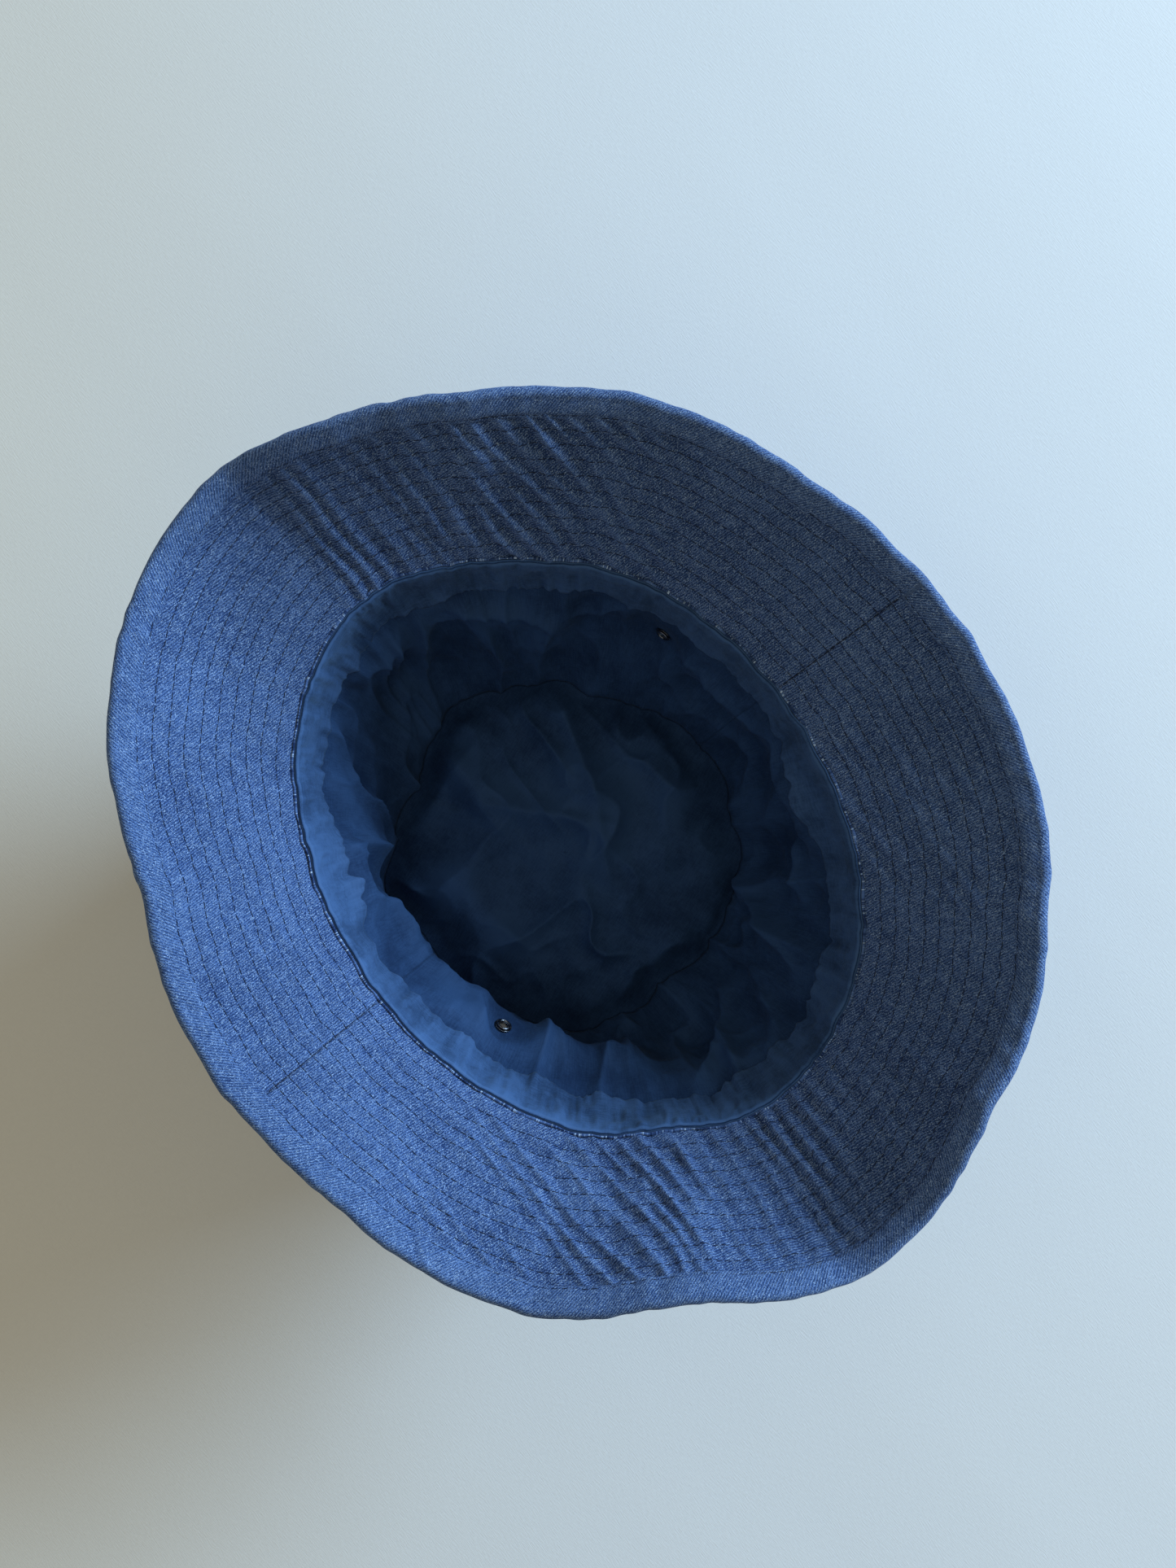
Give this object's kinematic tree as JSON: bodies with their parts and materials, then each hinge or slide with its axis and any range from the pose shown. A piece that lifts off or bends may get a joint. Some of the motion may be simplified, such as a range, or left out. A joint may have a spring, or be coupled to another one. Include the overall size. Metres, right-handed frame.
{
  "type": "bucket hat",
  "caption": "Soft lined denim bucket hat lying on its crown, with a row-stitched sloping brim, bound edge, sweatband and metal vent eyelets.",
  "frame": {"origin": "centre of the crown tip's outer face, which the hat lies on, at the bottom centre of its box", "axes": "+Z out of the head opening, up as the hat lies; +Y towards the front; +X towards one side seam"},
  "size_m": [0.2506, 0.2946, 0.1268],
  "materials": {
    "denim": "light indigo twill, matte",
    "binding_denim": "light indigo twill cut on the bias, matte",
    "lining_cloth": "fine plain weave, matte",
    "sweatband_cloth": "soft brushed plain weave, matte",
    "interlining": "stiff non-woven, matte",
    "thread": "twisted polyester, slight sheen",
    "eyelet_metal": "nickel plated"
  },
  "bodies": {
    "root": {"crown_tip": "denim", "crown_side_front": "denim", "crown_side_back": "denim", "lining_tip": "lining_cloth", "lining_side_front": "lining_cloth", "lining_side_back": "lining_cloth", "sweatband": "sweatband_cloth", "brim_under_front": "denim", "brim_under_back": "denim", "brim_interlining_front": "interlining", "brim_interlining_back": "interlining", "brim_upper_front": "denim", "brim_upper_back": "denim", "brim_binding": "binding_denim", "brim_needle_threads": "thread", "brim_bobbin_threads": "thread", "crown_tip_threads": "thread", "opening_threads": "thread", "crown_seam_threads": "thread", "brim_seam_threads": "thread", "eyelet_front_right": "eyelet_metal", "washer_front_right": "eyelet_metal", "eyelet_front_left": "eyelet_metal", "washer_front_left": "eyelet_metal", "eyelet_back_left": "eyelet_metal", "washer_back_left": "eyelet_metal", "eyelet_back_right": "eyelet_metal", "washer_back_right": "eyelet_metal"}
  },
  "joints": []
}
